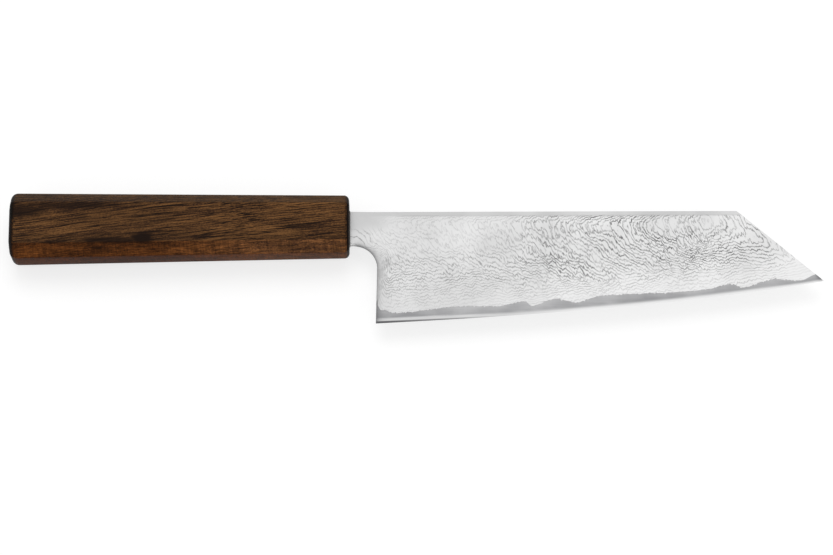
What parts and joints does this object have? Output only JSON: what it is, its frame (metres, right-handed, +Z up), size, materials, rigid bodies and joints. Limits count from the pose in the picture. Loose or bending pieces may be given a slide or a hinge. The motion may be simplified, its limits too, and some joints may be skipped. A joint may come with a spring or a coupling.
{
  "type": "bunka knife",
  "caption": "Kitchen knife with a tall layered-steel blade, an angled tip and a darker core along the edge, glued into an octagonal wooden handle.",
  "frame": {"origin": "under the middle of the knife's bounding box, on the surface it lies on", "axes": "+X along the knife from butt to tip, +Y from the cutting edge to the spine, +Z up out of the blade's right face"},
  "size_m": [0.3096, 0.051, 0.0195],
  "materials": {
    "core_steel": "satin grey hard steel with a bright sharpened bevel",
    "cladding_steel": "pale satin steel etched with fine wavy layer lines",
    "handle_wood": "dark brown, open-grained, oiled to a low sheen",
    "bond_resin": "dark hardened resin"
  },
  "bodies": {
    "root": {"core_steel": "core_steel", "cladding_right": "cladding_steel", "cladding_left": "cladding_steel", "handle": "handle_wood", "tang_bond": "bond_resin"}
  },
  "joints": []
}
